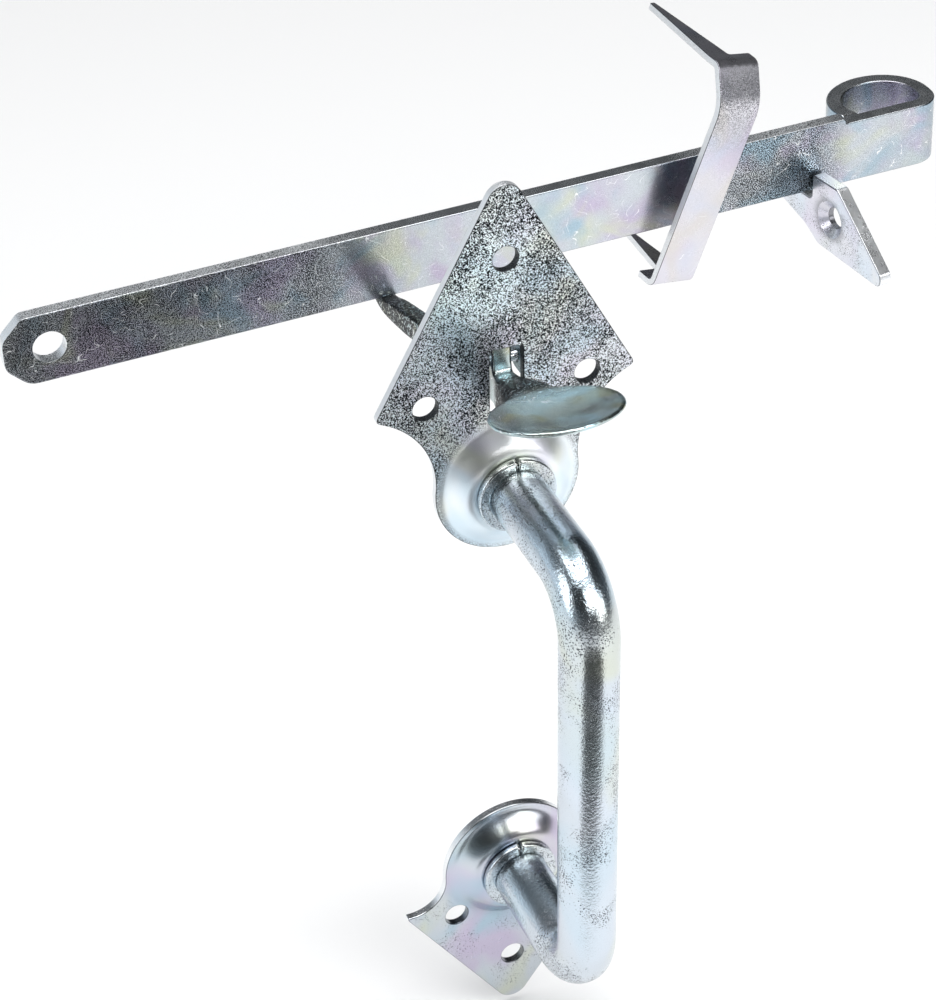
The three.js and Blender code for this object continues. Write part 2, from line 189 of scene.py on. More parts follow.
SHEET = 2.5
CLEARANCE = 0.3
SCREW_RADIUS = 3.5
ROUND_END, TIP_RADIUS, CORNER_EASE = 20.5, 5.0, 1.5
SEAT = {"foot": 20.0, "top": 11.6, "rise": 5.0, "smooth": 18.5, "fade": 3}
UPPER = {"grip_z": -50, "to_tip": 1, "corner": (36.5, 27.9), "tip": 94.5, "waist": 6,
         "screws": ((0, 68), (-22.6, 29), (22.6, 29))}
SLOT = {"left": -4.7, "right": 4.7, "bottom": -28.0, "top": -8.3, "corner": 0.9}
PIVOT_Y, PIVOT_Z, PIN_RADIUS = 3.4, -15.0, 1.5
EAR = {"inner": 5.0, "thickness": 2.0, "half_height": 4.2, "root": 0.02}
TUBE_RADIUS = 8.0


def arc(x, y, radius, start, end, spacing=0.9):
    """Points along a circle from one angle to another, in degrees."""
    steps = max(3, round(abs(math.radians(end - start)) * radius / spacing))
    turns = [math.radians(start + (end - start) * step / steps) for step in range(steps + 1)]
    return [Vector((x + radius * math.cos(turn), y + radius * math.sin(turn))) for turn in turns]


def spaced(loop, spacing):
    """A closed loop with its long edges divided."""
    points = []
    for here, after in zip(loop, loop[1:] + loop[:1]):
        steps = max(1, round((after - here).length / spacing))
        points += [here.lerp(after, step / steps) for step in range(steps)]
    return points


def rounded(corners, spacing=2.0):
    """A closed loop through (x, y, radius) corners, each rounded by its radius."""
    loop = []
    for i, (x, y, radius) in enumerate(corners):
        here = Vector((x, y))
        before = (Vector(corners[i - 1][:2]) - here).normalized()
        after = (Vector(corners[(i + 1) % len(corners)][:2]) - here).normalized()
        half = before.angle(after) / 2
        if half > math.radians(89.9):
            loop.append(here)
            continue
        reach = radius / math.tan(half)
        centre = here + (before + after).normalized() * radius / math.sin(half)
        start, end = here + before * reach - centre, here + after * reach - centre
        turn = start.angle_signed(end)
        steps = max(2, math.ceil(abs(turn) / math.radians(12)))
        loop += [centre + Matrix.Rotation(-turn * step / steps, 2) @ start
                 for step in range(steps + 1)]
    return spaced(loop, spacing)


def eased(loop, corners, reach):
    """A closed loop with a soft curve in place of each sharp corner."""
    for corner in corners:
        near = [(point - corner).length < reach for point in loop]
        first = next(i for i, close in enumerate(near) if close and not near[i - 1])
        loop, near = loop[first:] + loop[:first], near[first:] + near[:first]
        kept = [point for point, close in zip(loop, near) if not close]
        start, end = kept[-1], kept[0]
        shares = [step / 7 for step in range(1, 7)]
        loop = kept + [start.lerp(corner, share).lerp(corner.lerp(end, share), share)
                       for share in shares]
    return loop


def soft_rim(thickness, front=0.35, back=0.35, steps=4):
    """Rounded edges of a sheet from front to back, as (inset, depth, turn) of the rim's profile."""
    quarter = math.pi / 2
    rim = []
    for step in range(steps + 1):
        turn = quarter * step / steps
        rim.append((front * (1 - math.sin(turn)), front * (1 - math.cos(turn)), turn))
    for step in range(steps + 1):
        turn = quarter * (1 + step / steps)
        rim.append((back * (1 - math.sin(turn)), thickness - back * (1 + math.cos(turn)), turn))
    return rim


def outward(loop):
    """Each point's direction out of the material, and how much a mitre there is stretched."""
    directions = []
    for i, here in enumerate(loop):
        before, after = here - loop[i - 1], loop[(i + 1) % len(loop)] - here
        sides = [Vector((along.y, -along.x)).normalized() for along in (before, after)]
        middle = (sides[0] + sides[1]).normalized()
        directions.append((middle, 1 / max(middle.dot(sides[0]), 0.5)))
    return directions


def inside(points, starts, ends):
    """Whether each point lies inside closed loops, by counting the edges to its right."""
    x, y = points[:, :1], points[:, 1:]
    spans = (starts[:, 1] > y) != (ends[:, 1] > y)
    rise = np.where(starts[:, 1] == ends[:, 1], 1, ends[:, 1] - starts[:, 1])
    cross = starts[:, 0] + (y - starts[:, 1]) * (ends[:, 0] - starts[:, 0]) / rise
    return (spans & (x < cross)).sum(1) % 2 == 1


def fill(loops, spacing, inner):
    """Points and triangles that fill the space between closed loops. Inner holds points to add,
    and zones that the even grid leaves to them."""
    border = np.array([point[:] for loop in loops for point in loop])
    edges, first = [], 0
    for loop in loops:
        edges += [(first + i, first + (i + 1) % len(loop)) for i in range(len(loop))]
        first += len(loop)
    (left, bottom), (right_end, top) = border.min(0), border.max(0)
    grid = [(x + (row % 2) * spacing / 2, y)
            for row, y in enumerate(np.arange(bottom, top, spacing * 0.87))
            for x in np.arange(left, right_end, spacing)]
    grid = [spot for spot in grid if not any(zone(*spot) for zone in inner[1])]
    reach = np.array([spacing * 0.45] * len(grid) + [0.4] * len(inner[0]))
    grid = np.array(grid + list(inner[0])).reshape(-1, 2)
    gaps = np.array([np.linalg.norm(border - spot, axis=1).min() for spot in grid])
    starts, ends = border[[a for a, _ in edges]], border[[b for _, b in edges]]
    grid = grid[(gaps > reach) & inside(grid, starts, ends)]
    points = np.concatenate([border, grid])
    made = delaunay_2d_cdt([Vector(spot) for spot in points], edges, [], 0, 1e-6)
    origin = [sources[0] if sources else -1 for sources in made[3]]
    faces = np.array([[origin[i] for i in face] for face in made[2]])
    faces = faces[(faces >= 0).all(1)]
    return [Vector(spot) for spot in grid], faces[inside(points[faces].mean(1), starts, ends)]


def add_mesh(name, points, faces, marks, normals=None):
    """A smooth mesh object from points in millimetres, with named marks and its own normals."""
    mesh = bpy.data.meshes.new(name)
    mesh.from_pydata([Vector(point) * MM for point in points], [], faces)
    mesh.shade_smooth()
    if normals:
        mesh.normals_split_custom_set_from_vertices(normals)
    for mark, values in marks.items():
        mesh.attributes.new(mark, "FLOAT", "POINT").data.foreach_set("value", values)
    return add_object(name, mesh)


def cut_blank(name, loops, thickness, place, spacing=4.0, inner=((), ()), grain=None):
    """A piece of sheet or strip: loops of (points, rim) cut out, then bent by place()."""
    points, turns, faces, depths, rim_marks = [], [], [], [], []

    def add_ring(ring, depth, turn, sides, rim_mark):
        points.extend((point.x, point.y) for point in ring)
        depths.extend([depth] * len(ring))
        turns.extend((turn, side) for side in sides)
        rim_marks.extend([rim_mark] * len(ring))

    fronts, backs = [], []
    for loop, rim in loops:
        sides = outward(loop)
        first = len(points)
        for inset, depth, turn, *mark in rim:
            ring = [point - side * inset * mitre for point, (side, mitre) in zip(loop, sides)]
            add_ring(ring, depth, turn, [side for side, _ in sides],
                     mark[0] if mark else math.sin(turn) ** 2)
        count = len(loop)
        for row in range(len(rim) - 1):
            near, far = first + row * count, first + (row + 1) * count
            faces += [(near + i, far + i, far + (i + 1) % count, near + (i + 1) % count)
                      for i in range(count)]
        fronts += range(first, first + count)
        backs += range(first + (len(rim) - 1) * count, first + len(rim) * count)
    starts = np.cumsum([0] + [len(loop) for loop, _ in loops])
    cuts = [[Vector(points[i]) for i in fronts[start:start + len(loop)]]
            for start, (loop, _) in zip(starts, loops)]
    middle, triangles = fill(cuts, spacing, inner)
    flat = Vector((0, 0))
    for side, depth, turn in ((fronts, 0, 0), (backs, thickness, math.pi)):
        known = side + list(range(len(points), len(points) + len(middle)))
        add_ring(middle, depth, turn, [flat] * len(middle), 0.0)
        order = (0, 1, 2) if turn == 0 else (2, 1, 0)
        faces += [tuple(known[face[i]] for i in order) for face in triangles]

    # A nudge each way gives the directions along and across the bent sheet at each point.
    nudge = 0.01
    placed, normals = [], []
    for (u, v), depth, (turn, side) in zip(points, depths, turns):
        along = place(u + nudge, v, depth) - place(u - nudge, v, depth)
        up_it = place(u, v + nudge, depth) - place(u, v - nudge, depth)
        face = along.cross(up_it).normalized()
        edge = along * side.x + up_it * side.y
        edge = edge.normalized() if edge.length > 0 else edge
        placed.append(place(u, v, depth))
        normals.append((edge * math.sin(turn) + face * math.cos(turn)).normalized())
    marks = {"rim": rim_marks, "grain": [grain(u, v) if grain else 1.0 for u, v in points]}
    return add_mesh(name, placed, faces, marks, normals)


def circle(x, y, radius):
    """A round hole, with the material outside it."""
    return arc(x, y, radius, 360, 0, 0.7)[:-1]


def plate_loops(plate):
    """The kite outline with hollow waists, and the screw holes."""
    corner = Vector(plate["corner"])
    waist = math.radians(plate["waist"])
    side = math.cos(waist) * corner.x + math.sin(waist) * corner.y - ROUND_END
    distance = (corner.length_squared - ROUND_END ** 2) / (2 * side)
    waist_radius = distance - ROUND_END
    centre = Vector((math.cos(waist), math.sin(waist))) * distance
    to_corner = math.degrees(math.atan2(corner.y - centre.y, centre.x - corner.x))
    lean = math.degrees(math.atan2(corner.x, plate["tip"] - corner.y))
    tip_y = plate["tip"] - TIP_RADIUS / math.sin(math.radians(lean))
    turn = plate["waist"]
    loop = arc(0, 0, ROUND_END, 180 - turn, 360 + turn)[:-1]
    loop += arc(centre.x, centre.y, waist_radius, 180 + turn, 180 - to_corner)
    loop += arc(0, tip_y, TIP_RADIUS, lean, 180 - lean, 0.5)
    loop += arc(-centre.x, centre.y, waist_radius, to_corner, -turn)[:-1]
    loop = eased(spaced(loop, 0.9), [corner, Vector((-corner.x, corner.y))], CORNER_EASE)

    def put(points):
        points = [Vector((p.x, plate["grip_z"] + plate["to_tip"] * p.y)) for p in points]
        return points if plate["to_tip"] > 0 else points[::-1]

    holes = [put(circle(x, height, SCREW_RADIUS)) for x, height in plate["screws"]]
    return put(loop), holes


def around(count):
    """Even angles round a full turn."""
    return np.linspace(0, 2 * math.pi, count, endpoint=False)


def press_plate(name, plate, extra_holes=()):
    """A whole plate, with its seat pressed up round the grip."""
    grip_z = plate["grip_z"]
    foot, top = SEAT["foot"], SEAT["top"]
    outline, holes = plate_loops(plate)
    bore = circle(0, grip_z, TUBE_RADIUS + CLEARANCE)
    rim = soft_rim(SHEET)
    # The holes' rim marks stop at 0.45, so the hole walls are painted dark with the rim's painted
    # shade line and get none of the painted rim highlight.
    punched = [(*step, min(math.sin(step[2]) ** 2, 0.45)) for step in rim]
    loops = [(outline, rim)] + [(hole, punched) for hole in (*holes, bore, *extra_holes)]

    def rise(u, v):
        """How far the pressed seat stands out of the flat sheet."""
        share = (math.hypot(u, v - grip_z) - top) / (foot - top)
        return SEAT["rise"] * (1 + math.cos(math.pi * min(max(share, 0), 1))) / 2

    def place(u, v, depth):
        return Vector((u, depth - SHEET - rise(u, v), v))

    def grain(u, v):
        """The drawn seat is smooth, and the flat round it is grainy."""
        return min(max((math.hypot(u, v - grip_z) - SEAT["smooth"]) / SEAT["fade"], 0), 1)

    rings = [(radius * math.cos(a), grip_z + radius * math.sin(a))
             for radius in np.arange(9.6, foot, 0.8)
             for a in around(72)]

    def zone(x, y):
        return math.hypot(x, y - grip_z) < foot + 0.4

    return cut_blank(name, loops, SHEET, place, 3.0, (rings, [zone]), grain)


def group_sockets(group, taken, given):
    """Names what a node group takes in and gives out, and returns both ends."""
    for label, kind, value in taken:
        socket = group.interface.new_socket(label, in_out="INPUT", socket_type=kind)
        if value is not None:
            socket.default_value = value
    for label, kind in given:
        group.interface.new_socket(label, in_out="OUTPUT", socket_type=kind)
    return (group.nodes.new("NodeGroupInput").outputs, group.nodes.new("NodeGroupOutput").inputs)


def feed(tree, socket, value):
    """Links another node's output to a socket, or sets the socket's own value."""
    if isinstance(value, bpy.types.NodeSocket):
        tree.links.new(value, socket)
    else:
        socket.default_value = value


def wire(tree, kind, inputs, output=0, **settings):
    """Adds a node, sets or links its inputs, and gives one of its outputs."""
    node = tree.nodes.new(kind)
    for key, value in settings.items():
        setattr(node, key, value)
    for key, value in inputs.items():
        feed(tree, node.inputs[key], value)
    return node.outputs[output]


def number(tree, operation, a, b, clamp=False):
    """One sum on two values."""
    return wire(tree, "ShaderNodeMath", {0: a, 1: b}, operation=operation, use_clamp=clamp)


def noise(tree, vector, scale, detail=2.0, roughness=0.5, distortion=0.0):
    """A soft random value over the surface."""
    return wire(tree, "ShaderNodeTexNoise", {
        "Vector": vector, "Scale": scale, "Detail": detail, "Roughness": roughness,
        "Distortion": distortion,
    })


def stretch(tree, value, low, high):
    """The part of a value between low and high, as 0 to 1."""
    return wire(tree, "ShaderNodeMapRange", {"Value": value, "From Min": low, "From Max": high},
                interpolation_type="SMOOTHSTEP")


def blend_colors(tree, share, a, b):
    """The first colour, with a share of the second laid over it."""
    node = tree.nodes.new("ShaderNodeMix")
    node.data_type = "RGBA"
    for socket, value in ((node.inputs[0], share), (node.inputs[6], a), (node.inputs[7], b)):
        feed(tree, socket, value)
    return node.outputs[2]


# Passivated zinc shimmers in wide soft clouds of lilac, straw and blue over its silver.
bloom = bpy.data.node_groups.new("passivation_clouds", "ShaderNodeTree")
ins, outs = group_sockets(bloom, (
    ("Vector", "NodeSocketVector", None), ("Scale", "NodeSocketFloat", 40.0),
    ("Silver", "NodeSocketColor", (0.8, 0.83, 0.86, 1)),
    ("Lilac", "NodeSocketColor", (0.76, 0.71, 0.85, 1)),
    ("Straw", "NodeSocketColor", (0.84, 0.86, 0.72, 1)),
    ("Blue", "NodeSocketColor", (0.66, 0.79, 0.93, 1)),
    ("Strength", "NodeSocketFloat", 1.0),
), (("Color", "NodeSocketColor"),))
shade = ins["Silver"]
for tone, shift, swirl, low, high in (
        ("Lilac", (0.0, 0.0, 0.0), 0.6, 0.40, 0.66), ("Straw", (3.1, 1.7, 5.3), 0.8, 0.48, 0.72),
        ("Blue", (7.9, 4.2, 0.6), 0.8, 0.46, 0.70)):
    moved = wire(bloom, "ShaderNodeVectorMath", {0: ins["Vector"], 1: shift}, operation="ADD")
    cloud = stretch(bloom, noise(bloom, moved, ins["Scale"], 2.0, 0.5, swirl), low, high)
    share = number(bloom, "MULTIPLY", cloud, ins["Strength"], True)
    shade = blend_colors(bloom, share, shade, ins[tone])
bloom.links.new(shade, outs["Color"])

# Rolled steel keeps a close grain of tiny pits under the zinc, denser in some places.
pits = bpy.data.node_groups.new("steel_grain", "ShaderNodeTree")
ins, outs = group_sockets(pits, (
    ("Vector", "NodeSocketVector", None), ("Scale", "NodeSocketFloat", 2200.0),
    ("Cover", "NodeSocketFloat", 0.5), ("Patches", "NodeSocketFloat", 0.0),
), (("Pits", "NodeSocketFloat"), ("Height", "NodeSocketFloat")))
fine = noise(pits, ins["Vector"], ins["Scale"], 1.0, 0.5)
patch = stretch(pits, noise(pits, ins["Vector"], 70.0, 2.0), 0.42, 0.60)
thinned = number(pits, "MULTIPLY", number(pits, "SUBTRACT", 1.0, patch), ins["Patches"])
least_level = number(pits, "ADD", 0.66, number(pits, "MULTIPLY", thinned, 0.2))
edge_low = number(pits, "SUBTRACT", least_level, number(pits, "MULTIPLY", ins["Cover"], 0.28))
pit_mask = wire(pits, "ShaderNodeMapRange", {
    "Value": fine, "From Min": edge_low, "From Max": number(pits, "ADD", edge_low, 0.04)})
pits.links.new(pit_mask, outs["Pits"])
soft_height = noise(pits, ins["Vector"], number(pits, "MULTIPLY", ins["Scale"], 0.6), 2.0)
pits.links.new(number(pits, "SUBTRACT", soft_height, number(pits, "MULTIPLY", pit_mask, 0.6)),
               outs["Height"])

# Parts rub on each other in the plating barrel and in the box, which leaves short curly scratches.
rubs = bpy.data.node_groups.new("handling_scratches", "ShaderNodeTree")
ins, outs = group_sockets(rubs, (
    ("Vector", "NodeSocketVector", None), ("Scale", "NodeSocketFloat", 190.0),
    ("Width", "NodeSocketFloat", 0.007), ("Amount", "NodeSocketFloat", 0.5),
), (("Scratches", "NodeSocketFloat"),))
swirl = noise(rubs, ins["Vector"], ins["Scale"], 1.0, 0.4, 0.4)
off_line = number(rubs, "ABSOLUTE", number(rubs, "SUBTRACT", swirl, 0.5), 0.0)
line = number(rubs, "SUBTRACT", 1.0, wire(rubs, "ShaderNodeMapRange", {
    "Value": off_line, "From Min": 0.0, "From Max": ins["Width"]}))
moved = wire(rubs, "ShaderNodeVectorMath", {0: ins["Vector"], 1: (2.3, 8.1, 1.9)}, operation="ADD")
gate = noise(rubs, moved, number(rubs, "MULTIPLY", ins["Scale"], 2.6), 2.0)
gate_low = number(rubs, "SUBTRACT", 0.8, number(rubs, "MULTIPLY", ins["Amount"], 0.4))
open_gate = wire(rubs, "ShaderNodeMapRange", {
    "Value": gate, "From Min": gate_low, "From Max": number(rubs, "ADD", gate_low, 0.05)})
rubs.links.new(number(rubs, "MULTIPLY", line, open_gate), outs["Scratches"])


def add_group(tree, group, inputs):
    """Places one of the effects above in a material."""
    node = tree.nodes.new("ShaderNodeGroup")
    node.node_tree = group
    for key, value in inputs.items():
        feed(tree, node.inputs[key], value)
    return node.outputs


DULL_PITS = (0.05, 0.055, 0.06, 1)
DARK_PITS = (0.015, 0.016, 0.018, 1)
FRESH_SCRATCH = (0.96, 0.97, 0.98, 1)
# The painted highlight on the rims' walls, and the thin painted shade line beside it.
RIM_HIGHLIGHT_PAINT = (0.84, 0.86, 0.88, 1)
RIM_SHADE_PAINT = (0.04, 0.045, 0.05, 1)


def zinc(name, colors, cover, patches=0.0, pit_color=DULL_PITS, grain_scale=2200,
         roughness=0.2, bump=0.25, scratches=0.5, cloud_scale=40, clouds=1.0, pit_depth=0.9,
         painted_rim_shade=0.7):
    """Bright passivated zinc: clouds of colour, grain, scratches, and a painted highlight on each
    rim's wall beside a thin painted shade line."""
    finish = bpy.data.materials.new(name)
    finish.use_nodes = True
    tree = finish.node_tree
    shader = tree.nodes["Principled BSDF"]
    shader.inputs["Metallic"].default_value = 1.0
    spot = wire(tree, "ShaderNodeTexCoord", {}, "Object")
    tones = dict(zip(("Silver", "Lilac", "Straw", "Blue"), colors))
    color = add_group(tree, bloom, {"Vector": spot, "Scale": cloud_scale, "Strength": clouds,
                                    **tones})["Color"]
    grain = add_group(tree, pits, {"Vector": spot, "Scale": grain_scale, "Cover": cover,
                                   "Patches": patches})
    grain_here = wire(tree, "ShaderNodeAttribute", {}, "Fac", attribute_name="grain")
    rim_here = wire(tree, "ShaderNodeAttribute", {}, "Fac", attribute_name="rim")
    dark = number(tree, "MULTIPLY", grain["Pits"], number(tree, "MULTIPLY", grain_here, pit_depth))
    color = blend_colors(tree, dark, color, pit_color)
    marks = add_group(tree, rubs, {"Vector": spot, "Amount": scratches})["Scratches"]
    color = blend_colors(tree, marks, color, FRESH_SCRATCH)
    # Painted light at the rims: each rim's wall is painted bright as a highlight, and a thin
    # painted shade line runs where the rounding leaves the flat face.
    crest = number(tree, "MULTIPLY", stretch(tree, rim_here, 0.5, 0.98), painted_rim_shade)
    line = number(tree, "MULTIPLY", stretch(tree, rim_here, 0.02, 0.3),
                  number(tree, "SUBTRACT", painted_rim_shade, crest))
    color = blend_colors(tree, stretch(tree, rim_here, 0.6, 1.0), color, RIM_HIGHLIGHT_PAINT)
    color = blend_colors(tree, line, color, RIM_SHADE_PAINT)
    tree.links.new(color, shader.inputs["Base Color"])
    smear = noise(tree, spot, 180.0, 3.0)
    rough = number(tree, "ADD", number(tree, "MULTIPLY", smear, 0.14), roughness - 0.07)
    rough = number(tree, "ADD", rough, number(tree, "MULTIPLY", dark, 0.25))
    tree.links.new(rough, shader.inputs["Roughness"])
    height = number(tree, "MULTIPLY", grain["Height"], number(tree, "ADD", grain_here, 0.12))
    height = number(tree, "SUBTRACT", height, number(tree, "MULTIPLY", marks, 0.4))
    tree.links.new(wire(tree, "ShaderNodeBump", {"Height": height, "Strength": bump,
                                                 "Distance": 0.0004}), shader.inputs["Normal"])
    return finish


SILVER = (0.57, 0.61, 0.65, 1)
LILAC = (0.54, 0.49, 0.62, 1)
STRAW = (0.61, 0.64, 0.52, 1)
BLUE = (0.40, 0.53, 0.62, 1)

slot_corners = [(SLOT[side], SLOT[end], SLOT["corner"]) for side, end in (
    ("left", "top"), ("right", "top"), ("right", "bottom"), ("left", "bottom"))]
upper_plate = press_plate("upper_plate_steel", UPPER, [rounded(slot_corners, 0.9)])
upper_plate.data.materials.append(zinc(
    "grainy_plate_zinc", ((0.86, 0.92, 0.95, 1), (0.80, 0.79, 0.88, 1), (0.84, 0.87, 0.80, 1),
                          (0.68, 0.80, 0.88, 1)),
    0.79, patches=0.3, pit_color=DARK_PITS, grain_scale=3400, roughness=0.33,
    bump=0.35, scratches=0.1, pit_depth=1.0, painted_rim_shade=0.95))
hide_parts("upper_plate")
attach(upper_plate, "fixed_set")

ear_zinc = zinc("ear_zinc", (SILVER, LILAC, STRAW, BLUE), 0.3, bump=0.2)
for side, name in ((-1, "left_ear"), (1, "right_ear")):
    half, thickness = EAR["half_height"], EAR["thickness"]
    head = arc(PIVOT_Y, PIVOT_Z, half, -90, 90)
    loop = [Vector((EAR["root"], PIVOT_Z - half)), *head, Vector((EAR["root"], PIVOT_Z + half))]
    bore = circle(PIVOT_Y, PIVOT_Z, PIN_RADIUS + CLEARANCE)
    middle = side * (EAR["inner"] + thickness / 2)
    ear = cut_blank(name, [(loop, soft_rim(thickness)), (bore, soft_rim(thickness))], thickness,
                    lambda u, v, depth: Vector((middle + thickness / 2 - depth, u, v)))
    ear.data.materials.append(ear_zinc)
    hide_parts("upper_plate")
    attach(ear, "fixed_set")


# ---- lower plate ----
# The same sheet and seat as the upper plate, shorter and turned tip down, with no slot. Its
# surface came smoother from the rolls, so the clouds in the passivation show clearly.

LOWER = {"grip_z": -183, "to_tip": -1, "corner": (33, 11.3), "tip": 57.5, "waist": 2,
         "screws": ((0, 36.9), (-17.3, 15.2), (17.3, 15.2))}

lower_plate = press_plate("lower_plate_steel", LOWER)
lower_plate.data.materials.append(zinc(
    "smooth_plate_zinc", (SILVER, LILAC, STRAW, BLUE), 0.1, patches=0.6, grain_scale=3400,
    roughness=0.24, bump=0.08, scratches=0.1))
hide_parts("lower_plate")
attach(lower_plate, "fixed_set")


# ---- grip ----
# One length of 16 mm steel tube, bent twice. Each end is grooved for a split ring in front of its
# plate and flared over behind it.

GRIP_Y, BEND_RADIUS = -55.0, 16.0
TUBE_END = -3.3
LEG = TUBE_END - GRIP_Y - BEND_RADIUS
BEND = BEND_RADIUS * math.pi / 2
DROP = UPPER["grip_z"] - LOWER["grip_z"] - 2 * BEND_RADIUS
TOTAL = 2 * LEG + 2 * BEND + DROP


def join_rings(name, rings, closed=False):
    """Quads between rings of points. An open row of rings gets a flat cap at each end."""
    rows, count = len(rings), len(rings[0])
    points = [point for ring in rings for point in ring]
    faces = []
    for row in range(rows if closed else rows - 1):
        near, far = row * count, (row + 1) % rows * count
        faces += [(near + i, near + (i + 1) % count, far + (i + 1) % count, far + i)
                  for i in range(count)]
    if not closed:
        for row, flip in ((0, True), (rows - 1, False)):
            start = row * count
            centre = len(points)
            points.append(sum(rings[row], Vector()) / count)
            ends = [(start + i, start + (i + 1) % count, centre) for i in range(count)]
            faces += [face[::-1] for face in ends] if flip else ends
    return add_mesh(name, points, faces, {"rim": [0.0] * len(points), "grain": [1.0] * len(points)})


def grip_ring(along, radius):
    """One ring of the tube at a distance along its centre line."""
    half = TOTAL / 2
    side = 1 if along < half else -1
    rest = abs(half - along)
    middle_z = (UPPER["grip_z"] + LOWER["grip_z"]) / 2
    turn = min(max(rest - DROP / 2, 0), BEND) / BEND_RADIUS
    y = GRIP_Y + BEND_RADIUS * (1 - math.cos(turn)) + max(rest - DROP / 2 - BEND, 0)
    z = min(rest, DROP / 2) + BEND_RADIUS * math.sin(turn)
    across = Vector((0, -math.cos(turn), side * math.sin(turn)))
    centre = Vector((0, y, middle_z + side * z))
    return [centre + (Vector((1, 0, 0)) * math.cos(a) + across * math.sin(a)) * radius
            for a in around(72)]


# Each pair: distance from the tube's end, radius
OUTSIDE = ((0.0, 9.2), (0.12, 9.6), (0.45, 9.8), (0.95, 9.7), (1.35, 9.2), (1.7, 8.3), (2.2, 8.0),
           (4.1, 8.0), (4.2, 7.95), (4.25, 7.35), (4.4, 7.3), (6.6, 7.3), (6.75, 7.35),
           (6.8, 7.95), (6.95, 8.0))
INSIDE = ((0.0, 8.8), (0.2, 8.4), (0.8, 7.6), (1.7, 6.9), (3.0, 6.5), (7.0, 6.5))


def both_ways(profile):
    """A tube end's profile at both ends, with even rings between."""
    last = profile[-1][0]
    steps = round((TOTAL - 2 * last) / 1.5)
    middle = [(last + (TOTAL - 2 * last) * step / steps, profile[-1][1])
              for step in range(1, steps)]
    return list(profile) + middle + [(TOTAL - along, radius) for along, radius in profile[::-1]]


rings = [grip_ring(along, radius) for along, radius in both_ways(OUTSIDE)]
rings += [grip_ring(along, radius) for along, radius in both_ways(INSIDE)[::-1]]
grip = join_rings("grip_steel_tube", [ring[::-1] for ring in rings], closed=True)
grip.data.materials.append(zinc(
    "tube_zinc_finish", ((0.62, 0.68, 0.75, 1), SILVER, STRAW, (0.52, 0.65, 0.74, 1)), 0.36,
    patches=0.9, grain_scale=2400, roughness=0.2, bump=0.2, scratches=0.2, cloud_scale=25,
    clouds=0.7))
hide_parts("grip_tube")
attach(grip, "fixed_set")


# ---- collars ----
# A split ring snaps into the groove of each leg, with its gap at the top, and is the shoulder
# that the plate's seat is held against.

COLLAR = {"inner": 7.6, "outer": 11.0, "front": -9.8, "back": -7.8, "gap": 0.8}

collar_zinc = zinc("collar_zinc_finish", ((0.7, 0.74, 0.78, 1), SILVER, STRAW, BLUE), 0.3,
                   grain_scale=3200, roughness=0.2, bump=0.1, scratches=0.3, clouds=0.6)
collar_section = rounded([
    (COLLAR["inner"], COLLAR["front"], 0.4), (COLLAR["outer"], COLLAR["front"], 0.7),
    (COLLAR["outer"], COLLAR["back"], 0.4), (COLLAR["inner"], COLLAR["back"], 0.3)], 0.6)
half_gap = math.degrees(COLLAR["gap"] / 2 / COLLAR["outer"])
for node_name, plate in (("upper_collar", UPPER), ("lower_collar", LOWER)):
    rings = []
    for turn in np.linspace(90 + half_gap, 450 - half_gap, 90):
        out = Vector((math.cos(math.radians(turn)), 0, math.sin(math.radians(turn))))
        rings.append([out * p.x + Vector((0, p.y, plate["grip_z"])) for p in collar_section])
    collar = join_rings(node_name.replace("collar", "split_ring"), rings)
    collar.data.materials.append(collar_zinc)
    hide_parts(node_name)
    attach(collar, "fixed_set")


# ---- thumb lever ----
# One forging, tumbled smooth before plating: an oval dished thumb pad, a neck and blade through
# the slot, a horn that stops it behind the plate, and a long tail that reaches under the bar.

PAD = {"half_length": 18.0, "half_depth": 14.0, "y": -34.5, "z": -8.2, "tilt": math.radians(-11)}
BLADE_HALF = 2.8
# Each row: y, top, bottom, half width, corner radius
LEVER_ROWS = (
    (-31.0, -10.3, -11.8, 6.0, 0.6), (-26.0, -10.3, -14.0, 8.0, 1.7),
    (-21.5, -10.5, -17.0, 7.6, 2.8), (-17.0, -11.2, -21.0, 6.4, 3.4),
    (-12.0, -12.8, -24.6, 5.3, 3.0), (-7.0, -15.2, -27.0, 4.2, 2.0), (-3.0, -16.8, -27.0, 3.4, 1.2),
    (0.3, -17.0, -26.5, BLADE_HALF, 0.8), (0.8, -10.4, -26.5, BLADE_HALF, 0.8),
    (1.8, -9.2, -26.6, BLADE_HALF, 0.8), (4.6, -9.1, -26.7, BLADE_HALF, 0.8),
    (7.5, -11.8, -26.7, BLADE_HALF, 0.8), (15.0, -17.4, -26.4, BLADE_HALF, 0.8),
    (26.0, -23.0, -30.6, BLADE_HALF, 0.8), (40.0, -28.4, -35.6, BLADE_HALF, 0.8),
    (62.0, -34.3, -41.6, BLADE_HALF, 0.8), (76.0, -38.3, -44.2, BLADE_HALF, 0.8),
    (84.0, -41.1, -45.0, 2.7, 0.8), (90.0, -41.4, -43.9, 2.5, 0.8), (91.4, -41.9, -43.3, 2.0, 0.6),
)


def blade_section(y, top, bottom, half, corner):
    """A closed ring across the lever: a rectangle with rounded corners, seen along Y."""
    corner = min(corner, half * 0.98, (top - bottom) * 0.49)
    ring = []
    for start, x_side, z_side in ((0, 1, 1), (90, -1, 1), (180, -1, -1), (270, 1, -1)):
        x = x_side * (half - corner)
        z = (top - corner) if z_side > 0 else (bottom + corner)
        for step in range(7):
            turn = math.radians(start + 15 * step)
            ring.append(Vector((x + corner * math.cos(turn), y, z + corner * math.sin(turn))))
    return ring


